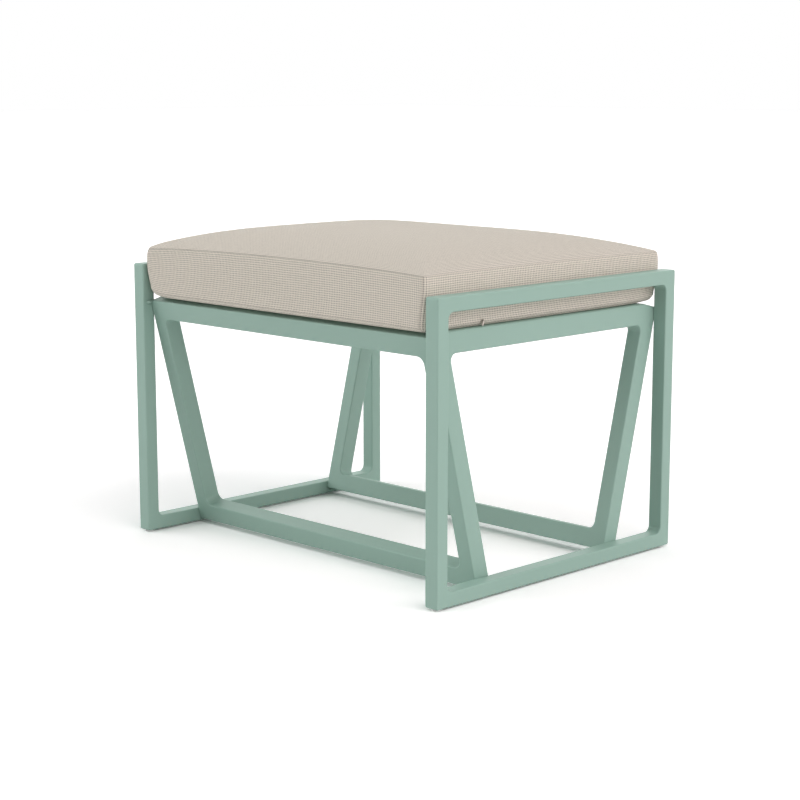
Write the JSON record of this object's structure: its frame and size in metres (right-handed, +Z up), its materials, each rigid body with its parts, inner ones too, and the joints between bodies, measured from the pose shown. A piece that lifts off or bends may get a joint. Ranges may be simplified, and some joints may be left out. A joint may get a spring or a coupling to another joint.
{
  "type": "outdoor ottoman footstool",
  "caption": "Outdoor ottoman with a powder-coated tube frame of upright end loops and leaning front and back loops, a slatted seat deck and a loose crowned box cushion with a hidden zip.",
  "frame": {"origin": "on the ground, under the middle of the stool", "axes": "+X along the long side towards the right end loop, -Y to the front, +Z up"},
  "size_m": [0.65, 0.509, 0.4793],
  "materials": {
    "frame_paint": "satin powder coat, pale grey green",
    "deck_paint": "satin powder coat, pale grey green",
    "glide": "milky clear plastic",
    "cover_fabric": "woven basket cloth, light warm beige",
    "fibre_wrap": "fluffy white wadding",
    "foam": "open cell foam",
    "zip": "beige nylon"
  },
  "bodies": {
    "frame": {"left_front_post": "frame_paint", "left_back_post": "frame_paint", "left_top_rail": "frame_paint", "left_bottom_rail": "frame_paint", "right_front_post": "frame_paint", "right_back_post": "frame_paint", "right_top_rail": "frame_paint", "right_bottom_rail": "frame_paint", "front_left_leg": "frame_paint", "front_right_leg": "frame_paint", "front_seat_rail": "frame_paint", "front_foot_rail": "frame_paint", "back_left_leg": "frame_paint", "back_right_leg": "frame_paint", "back_seat_rail": "frame_paint", "back_foot_rail": "frame_paint", "left_seat_rail": "frame_paint", "right_seat_rail": "frame_paint", "left_front_upper_weld": "frame_paint", "left_front_lower_weld": "frame_paint", "left_back_upper_weld": "frame_paint", "left_back_lower_weld": "frame_paint", "right_front_upper_weld": "frame_paint", "right_front_lower_weld": "frame_paint", "right_back_upper_weld": "frame_paint", "right_back_lower_weld": "frame_paint", "deck_slat_1": "deck_paint", "deck_slat_2": "deck_paint", "deck_slat_3": "deck_paint", "deck_slat_4": "deck_paint", "deck_slat_5": "deck_paint", "deck_slat_6": "deck_paint", "left_front_glide": "glide", "left_back_glide": "glide", "right_front_glide": "glide", "right_back_glide": "glide"},
    "cushion": {"cushion_cover": "cover_fabric", "cushion_zip_tape": "zip", "cushion_fibre_wrap": "fibre_wrap", "cushion_foam_core": "foam"},
    "zip_slider": {"zip_slider": "zip"},
    "zip_pull": {"zip_pull": "zip"}
  },
  "joints": [
    {"name": "cushion_lift", "type": "slide", "parent": "frame", "child": "cushion", "axis": [0, 0, 1], "range_m": [0, 0.2]},
    {"name": "zip_slide", "type": "slide", "parent": "cushion", "child": "zip_slider", "axis": [0, 1, 0], "range_m": [0, 0.28]},
    {"name": "pull_swing", "type": "hinge", "parent": "zip_slider", "child": "zip_pull", "pos_m": [0.3008, -0.14, 0.3808], "axis": [1, 0, 0], "range_deg": [-60, 100]}
  ]
}
